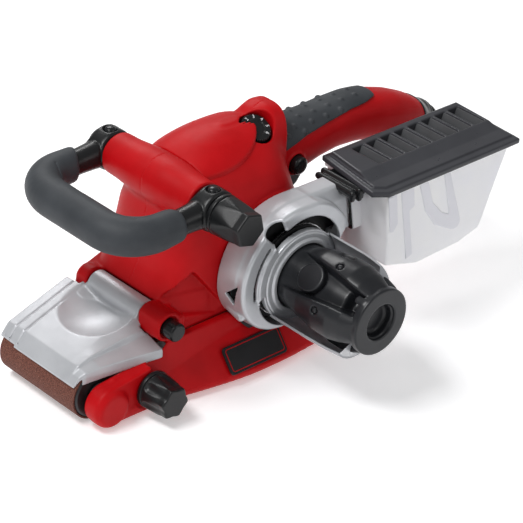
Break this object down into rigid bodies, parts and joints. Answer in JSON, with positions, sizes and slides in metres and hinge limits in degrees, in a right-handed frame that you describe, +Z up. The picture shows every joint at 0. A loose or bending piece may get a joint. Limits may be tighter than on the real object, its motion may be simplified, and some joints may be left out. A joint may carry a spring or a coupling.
{
  "type": "handheld belt sander",
  "caption": "Handheld belt sander with a swivelling front bow handle, flip-up nose cover, fan scroll with end cap and side dust box.",
  "frame": {"origin": "middle of the sanding face, on the belt's lower run", "axes": "+X towards the rear handle, -X to the front roller, -Y the closed drive side with the fan scroll, +Y the open side, +Z up"},
  "size_m": [0.3664, 0.2055, 0.1635],
  "materials": {
    "red_plastic": "satin moulded plastic",
    "silver_paint": "satin silver paint on moulded plastic",
    "black_plastic": "fine textured moulded plastic",
    "soft_grip": "matt soft overmould",
    "clear_plastic": "milky translucent plastic",
    "abrasive": "coated abrasive cloth",
    "steel": "plain steel",
    "cast_aluminium": "as cast",
    "copper": "varnished copper winding",
    "rubber": "matt rubber",
    "graphite": "graphite",
    "label": "blank satin label plate"
  },
  "bodies": {
    "machine": {"housing_near": "red_plastic", "housing_far": "red_plastic", "hood_panel": "red_plastic", "motor_end_cap": "red_plastic", "drive_cover": "red_plastic", "label_plate": "label", "cover_hinge_pin": "black_plastic", "sanding_belt": "abrasive", "base_frame": "cast_aluminium", "lever_pin": "steel", "motor_stator": "steel", "field_coil_near": "copper", "field_coil_far": "copper", "bearing_near": "steel", "bearing_far": "steel", "brush_holder_top": "graphite", "brush_holder_bottom": "graphite", "toothed_belt": "rubber", "axle_bearing": "steel", "scroll_housing": "silver_paint", "scroll_ring": "silver_paint", "fan_back_plate": "steel", "end_cap": "black_plastic", "end_shroud": "clear_plastic", "clamp_bolt": "steel", "clamp_disc": "black_plastic", "grip_rubber": "soft_grip", "switch_module": "black_plastic", "cable_gland": "rubber", "platen_plate": "steel", "platen_pad": "graphite"},
    "flip_cover": {"front_cover": "silver_paint"},
    "carriage": {"tension_carriage": "steel", "tension_spring": "steel", "front_axle": "steel"},
    "release_lever": {"tension_lever": "red_plastic"},
    "tracking": {"tracking_knob": "black_plastic"},
    "rotor": {"motor_shaft": "steel", "armature": "copper", "commutator": "copper", "motor_pinion": "steel", "dust_fan": "black_plastic"},
    "drive": {"drive_axle": "steel", "drive_roller": "rubber", "driven_pulley": "steel"},
    "idler": {"front_roller": "steel"},
    "bow": {"front_handle": "black_plastic", "handle_grip": "soft_grip", "eye_screw_near": "steel", "eye_screw_far": "steel"},
    "clamp": {"clamp_knob": "black_plastic"},
    "trigger": {"trigger": "black_plastic"},
    "lock_on": {"lock_button": "black_plastic"},
    "dial": {"speed_dial": "black_plastic"},
    "box": {"dust_box": "clear_plastic", "dust_filter": "rubber", "dust_neck": "black_plastic"},
    "lid": {"dust_lid": "black_plastic"}
  },
  "joints": [
    {"name": "handle_swivel", "type": "hinge", "parent": "machine", "child": "bow", "pos_m": [-0.024, 0, 0.134], "axis": [0, 1, 0], "range_deg": [-10, 80]},
    {"name": "clamp_knob_turn", "type": "hinge", "parent": "machine", "child": "clamp", "pos_m": [-0.024, -0.07, 0.134], "axis": [0, 1, 0], "range_deg": [0, 360]},
    {"name": "cover_flip", "type": "hinge", "parent": "machine", "child": "flip_cover", "pos_m": [-0.053, 0, 0.0535], "axis": [0, 1, 0], "range_deg": [0, 60]},
    {"name": "tracking_turn", "type": "hinge", "parent": "machine", "child": "tracking", "pos_m": [-0.072, -0.06, 0.018], "axis": [0, 1, 0], "range_deg": [-180, 180]},
    {"name": "trigger_pull", "type": "slide", "parent": "machine", "child": "trigger", "axis": [0, 0, 1], "range_m": [0, 0.004], "stiffness_N_per_m": 1500, "springref_m": -0.002},
    {"name": "lock_press", "type": "slide", "parent": "machine", "child": "lock_on", "axis": [0, 1, 0], "range_m": [0, 0.003], "stiffness_N_per_m": 600, "springref_m": -0.001},
    {"name": "dial_turn", "type": "hinge", "parent": "machine", "child": "dial", "pos_m": [0.05, -0.011, 0.1525], "axis": [-0.0502, -0.502, 0.8634], "range_deg": [0, 300]},
    {"name": "release_swing", "type": "hinge", "parent": "machine", "child": "release_lever", "pos_m": [-0.04, 0.025, 0.019], "axis": [0, 0, 1], "range_deg": [0, 60]},
    {"name": "carriage_slide", "type": "slide", "parent": "machine", "child": "carriage", "axis": [1, 0, 0], "range_m": [0, 0.007]},
    {"name": "motor_spin", "type": "hinge", "parent": "machine", "child": "rotor", "pos_m": [0.045, 0, 0.068], "axis": [0, 1, 0], "continuous": true},
    {"name": "drive_spin", "type": "hinge", "parent": "machine", "child": "drive", "pos_m": [0.10212, 0, 0.02], "axis": [0, 1, 0], "continuous": true},
    {"name": "idler_spin", "type": "hinge", "parent": "carriage", "child": "idler", "pos_m": [-0.105, 0, 0.019], "axis": [0, 1, 0], "continuous": true},
    {"name": "box_pull", "type": "slide", "parent": "machine", "child": "box", "axis": [1, 0, 0], "range_m": [0, 0.04]},
    {"name": "lid_flip", "type": "hinge", "parent": "box", "child": "lid", "pos_m": [0.16, -0.0265, 0.1184], "axis": [-1, 0, 0], "range_deg": [0, 75]}
  ],
  "couplings": [
    {"joint": "release_swing", "follows": "carriage_slide", "rad_per_m": 149.59},
    {"joint": "drive_spin", "follows": "motor_spin", "ratio": 0.46875},
    {"joint": "idler_spin", "follows": "motor_spin", "ratio": 0.49423}
  ]
}
